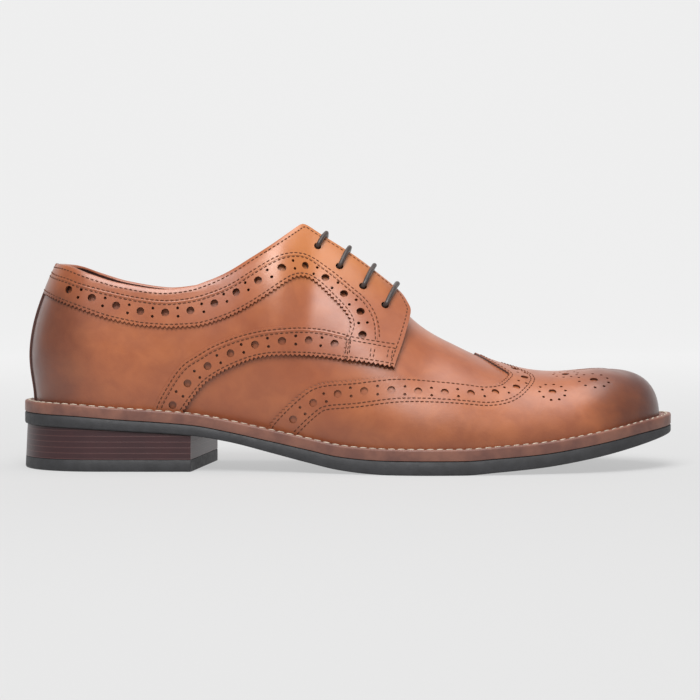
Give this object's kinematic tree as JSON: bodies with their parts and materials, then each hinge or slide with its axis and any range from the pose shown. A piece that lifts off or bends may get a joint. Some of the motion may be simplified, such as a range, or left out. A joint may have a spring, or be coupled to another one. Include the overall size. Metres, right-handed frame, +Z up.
{
  "type": "brogue shoe",
  "caption": "Right foot leather brogue shoe with a punched wing cap, open lacing, welted sole and stacked heel, standing on its sole",
  "frame": {"origin": "on the floor under the middle of the shoe's bounding box", "axes": "+X along the shoe to the toe, +Y to the foot's inner (medial) side, +Z up"},
  "size_m": [0.305, 0.1095, 0.1151],
  "materials": {
    "tan_leather": "polished grain",
    "brown_leather": "burnished polish",
    "grey_rubber": "matt",
    "burgundy_stack": "waxed stacked edge",
    "dark_lining": "soft lining",
    "dark_cord": "waxed cord",
    "welt_leather": "waxed edge"
  },
  "bodies": {
    "root": {"outsole": "grey_rubber", "top_lift": "grey_rubber", "heel_stack": "burgundy_stack", "welt": "welt_leather", "insole": "dark_lining", "upper": "tan_leather", "tongue": "brown_leather", "wing_cap": "brown_leather", "back_strip": "brown_leather", "collar_band_lateral": "tan_leather", "collar_band_medial": "tan_leather", "quarter_lateral": "tan_leather", "quarter_medial": "tan_leather", "strap_lateral": "tan_leather", "strap_medial": "tan_leather", "laces": "dark_cord"}
  },
  "joints": []
}
